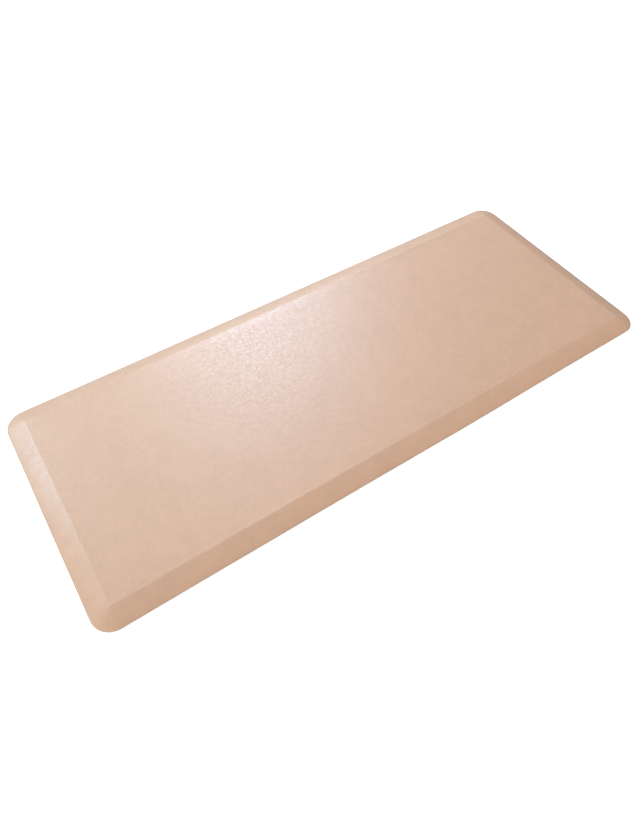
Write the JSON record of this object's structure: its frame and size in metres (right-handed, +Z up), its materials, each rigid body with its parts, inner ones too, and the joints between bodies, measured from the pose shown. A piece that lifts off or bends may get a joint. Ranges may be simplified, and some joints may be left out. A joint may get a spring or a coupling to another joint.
{
  "type": "anti fatigue mat",
  "caption": "Rectangular cushioned floor mat for standing work, with a leather-grained top, wide bevelled edges, rounded corners and a non-slip underside.",
  "frame": {"origin": "on the floor, under the middle of the mat", "axes": "+X along the mat's length, +Y across its width, +Z up out of the standing surface"},
  "size_m": [1.524, 0.6096, 0.0191],
  "materials": {
    "top_skin": "satin leather grain",
    "foam_core": "fine-celled foam",
    "base_skin": "matte, non-slip"
  },
  "bodies": {
    "root": {"top_skin": "top_skin", "foam_core": "foam_core", "base_skin": "base_skin"}
  },
  "joints": []
}
